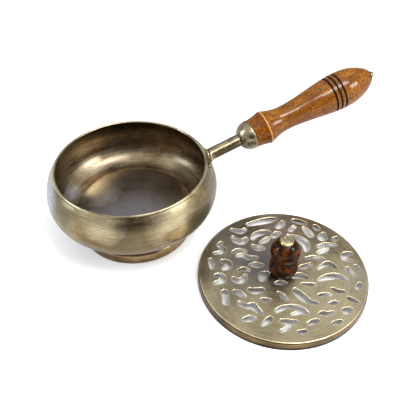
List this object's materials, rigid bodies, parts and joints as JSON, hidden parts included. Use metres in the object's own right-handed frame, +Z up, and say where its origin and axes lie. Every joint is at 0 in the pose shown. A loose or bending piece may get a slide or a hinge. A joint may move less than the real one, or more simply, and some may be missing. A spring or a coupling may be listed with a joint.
{
  "type": "bed warming pan",
  "caption": "Short-handled footed brass warming pan with a turned wooden grip, and its loose pierced brass lid with a wooden knob laid beside it.",
  "frame": {"origin": "on the floor, under the middle of the whole set's box", "axes": "+Z up; +X to the right along the set's longest extent; the handle rises to the back right, the lid lies at the front right"},
  "size_m": [0.2698, 0.2182, 0.1028],
  "materials": {
    "aged_brass": "antique patina, brushed round in lathe lines",
    "pierced_brass": "antique patina, bright cut edges",
    "polished_brass": "worn bright brass",
    "amber_wood": "glossy amber lacquer over fine grain",
    "dark_wood": "glossy dark red-brown lacquer",
    "plain_steel": "plain grey steel",
    "blackened_metal": "blackened washer"
  },
  "bodies": {
    "pan": {"bowl": "aged_brass", "foot_ring": "aged_brass", "handle_bracket": "aged_brass", "handle_rod": "polished_brass", "handle_cup": "polished_brass", "grip": "amber_wood", "end_washer": "blackened_metal", "end_nut": "polished_brass"},
    "lid": {"lid_plate": "pierced_brass", "lid_band": "pierced_brass", "lid_knob": "dark_wood", "knob_cap": "polished_brass", "knob_stud": "plain_steel", "lid_washer": "plain_steel", "lid_nut": "plain_steel"}
  },
  "joints": [
    {"name": "lid_lift", "type": "slide", "parent": "pan", "child": "lid", "axis": [0.0797, -0.0404, 0.996], "range_m": [0, 0.12]}
  ]
}
